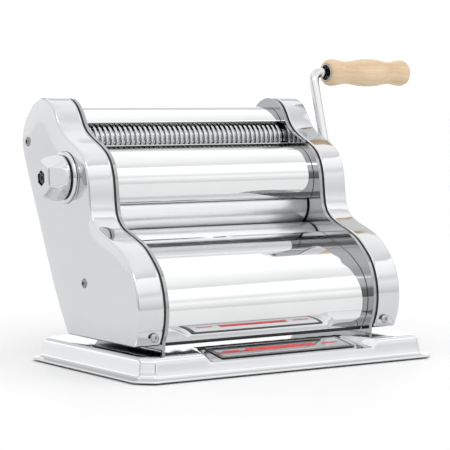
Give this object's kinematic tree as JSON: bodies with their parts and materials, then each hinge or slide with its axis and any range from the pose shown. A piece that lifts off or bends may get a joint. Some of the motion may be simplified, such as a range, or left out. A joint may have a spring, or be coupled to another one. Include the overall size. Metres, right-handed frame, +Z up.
{
  "type": "pasta roller machine",
  "caption": "Hand-cranked table-top pasta roller with smooth sheeting rollers, cutter pairs above and below, a thickness knob and a turned wooden crank grip.",
  "frame": {"origin": "centre of the base tray, on the surface that the machine stands on", "axes": "+X along the rollers towards the crank side, +Y to the rear, +Z up; the front with the sheet inlet faces -Y"},
  "size_m": [0.4046, 0.2272, 0.2573],
  "materials": {
    "chrome": "mirror-polished chromed steel",
    "cover_steel": "polished chromed steel with a soft satin bloom",
    "steel": "machined steel",
    "brass": "turned bronze",
    "rubber": "matt black rubber",
    "beech": "pale beech with fine grain, satin lacquer",
    "panel": "dark glossy panel",
    "black": "black oxide"
  },
  "bodies": {
    "frame": {"base_tray": "chrome", "base_bottom": "steel", "name_panel": "panel", "foot_front_left": "rubber", "foot_front_right": "rubber", "foot_rear_left": "rubber", "foot_rear_right": "rubber", "side_plate_left": "chrome", "side_plate_right": "chrome", "side_cover_left": "cover_steel", "side_cover_right": "cover_steel", "cover_screw_upper_left": "chrome", "cover_screw_lower_left": "chrome", "front_screw_left": "chrome", "cover_screw_upper_right": "chrome", "cover_screw_lower_right": "chrome", "front_screw_right": "chrome", "tie_rod_1": "steel", "tie_rod_2": "steel", "tie_rod_3": "steel", "top_guard": "chrome", "mid_guard": "chrome", "lower_guard": "chrome", "rear_guard": "chrome", "upper_feed_tray": "chrome", "sheet_chute": "chrome", "lower_feed_tray": "chrome", "upper_comb": "steel", "upper_comb_rear": "steel", "lower_comb": "steel", "upper_roller_bush_left": "brass", "upper_roller_bush_right": "brass", "knob_collar": "chrome", "drive_bush": "brass"},
    "crank": {"crank_arm": "chrome", "drive_shaft": "steel", "drive_pinion": "steel"},
    "grip": {"crank_grip": "beech", "grip_ferrule": "steel"},
    "upper_roller_body": {"upper_roller": "chrome", "upper_roller_gear": "steel"},
    "gap_slide": {"roller_slide_left": "steel", "roller_slide_right": "steel"},
    "lower_roller_body": {"lower_roller": "chrome", "lower_roller_gear": "steel"},
    "regulator": {"regulator_shaft": "steel", "regulator_cam_left": "steel", "regulator_cam_right": "steel", "regulator_knob": "chrome", "knob_screw": "black", "knob_washer": "black"},
    "fine_cutter_front_body": {"fine_cutter_front": "chrome", "fine_cutter_gear_front": "steel"},
    "fine_cutter_rear_body": {"fine_cutter_rear": "chrome", "fine_cutter_gear_rear": "steel"},
    "wide_cutter_upper_body": {"wide_cutter_upper": "chrome", "wide_cutter_gear_upper": "steel"},
    "wide_cutter_lower_body": {"wide_cutter_lower": "chrome", "wide_cutter_gear_lower": "steel"}
  },
  "joints": [
    {"name": "crank_spin", "type": "hinge", "parent": "frame", "child": "crank", "pos_m": [0.1415, 0.0524, 0.1552], "axis": [1, 0, 0], "continuous": true},
    {"name": "upper_roller_spin", "type": "hinge", "parent": "frame", "child": "upper_roller_body", "pos_m": [0, 0.0495, 0.126], "axis": [1, 0, 0], "continuous": true},
    {"name": "regulator_turn", "type": "hinge", "parent": "frame", "child": "regulator", "pos_m": [-0.14, 0.0524, 0.1552], "axis": [1, 0, 0], "range_deg": [0, 240]},
    {"name": "roller_gap", "type": "slide", "parent": "frame", "child": "gap_slide", "axis": [0, -0.4675, -0.884], "range_m": [0, 0.003]},
    {"name": "lower_roller_spin", "type": "hinge", "parent": "gap_slide", "child": "lower_roller_body", "pos_m": [0, 0.0312, 0.0914], "axis": [1, 0, 0], "continuous": true},
    {"name": "grip_spin", "type": "hinge", "parent": "crank", "child": "grip", "pos_m": [0.204, 0.0783, 0.2445], "axis": [1, 0, 0], "continuous": true},
    {"name": "fine_front_spin", "type": "hinge", "parent": "frame", "child": "fine_cutter_front_body", "pos_m": [0, 0.081, 0.185], "axis": [1, 0, 0], "continuous": true},
    {"name": "fine_rear_spin", "type": "hinge", "parent": "frame", "child": "fine_cutter_rear_body", "pos_m": [0, 0.072, 0.1604], "axis": [1, 0, 0], "continuous": true},
    {"name": "wide_upper_spin", "type": "hinge", "parent": "frame", "child": "wide_cutter_upper_body", "pos_m": [0, -0.0171, 0.063], "axis": [1, 0, 0], "continuous": true},
    {"name": "wide_lower_spin", "type": "hinge", "parent": "frame", "child": "wide_cutter_lower_body", "pos_m": [0, -0.0069, 0.041], "axis": [1, 0, 0], "continuous": true}
  ],
  "couplings": [
    {"joint": "upper_roller_spin", "follows": "crank_spin", "ratio": -0.5},
    {"joint": "lower_roller_spin", "follows": "crank_spin", "ratio": 0.5},
    {"joint": "regulator_turn", "follows": "roller_gap", "rad_per_m": 1396},
    {"joint": "fine_rear_spin", "follows": "fine_front_spin", "ratio": -1},
    {"joint": "wide_lower_spin", "follows": "wide_upper_spin", "ratio": -1}
  ]
}
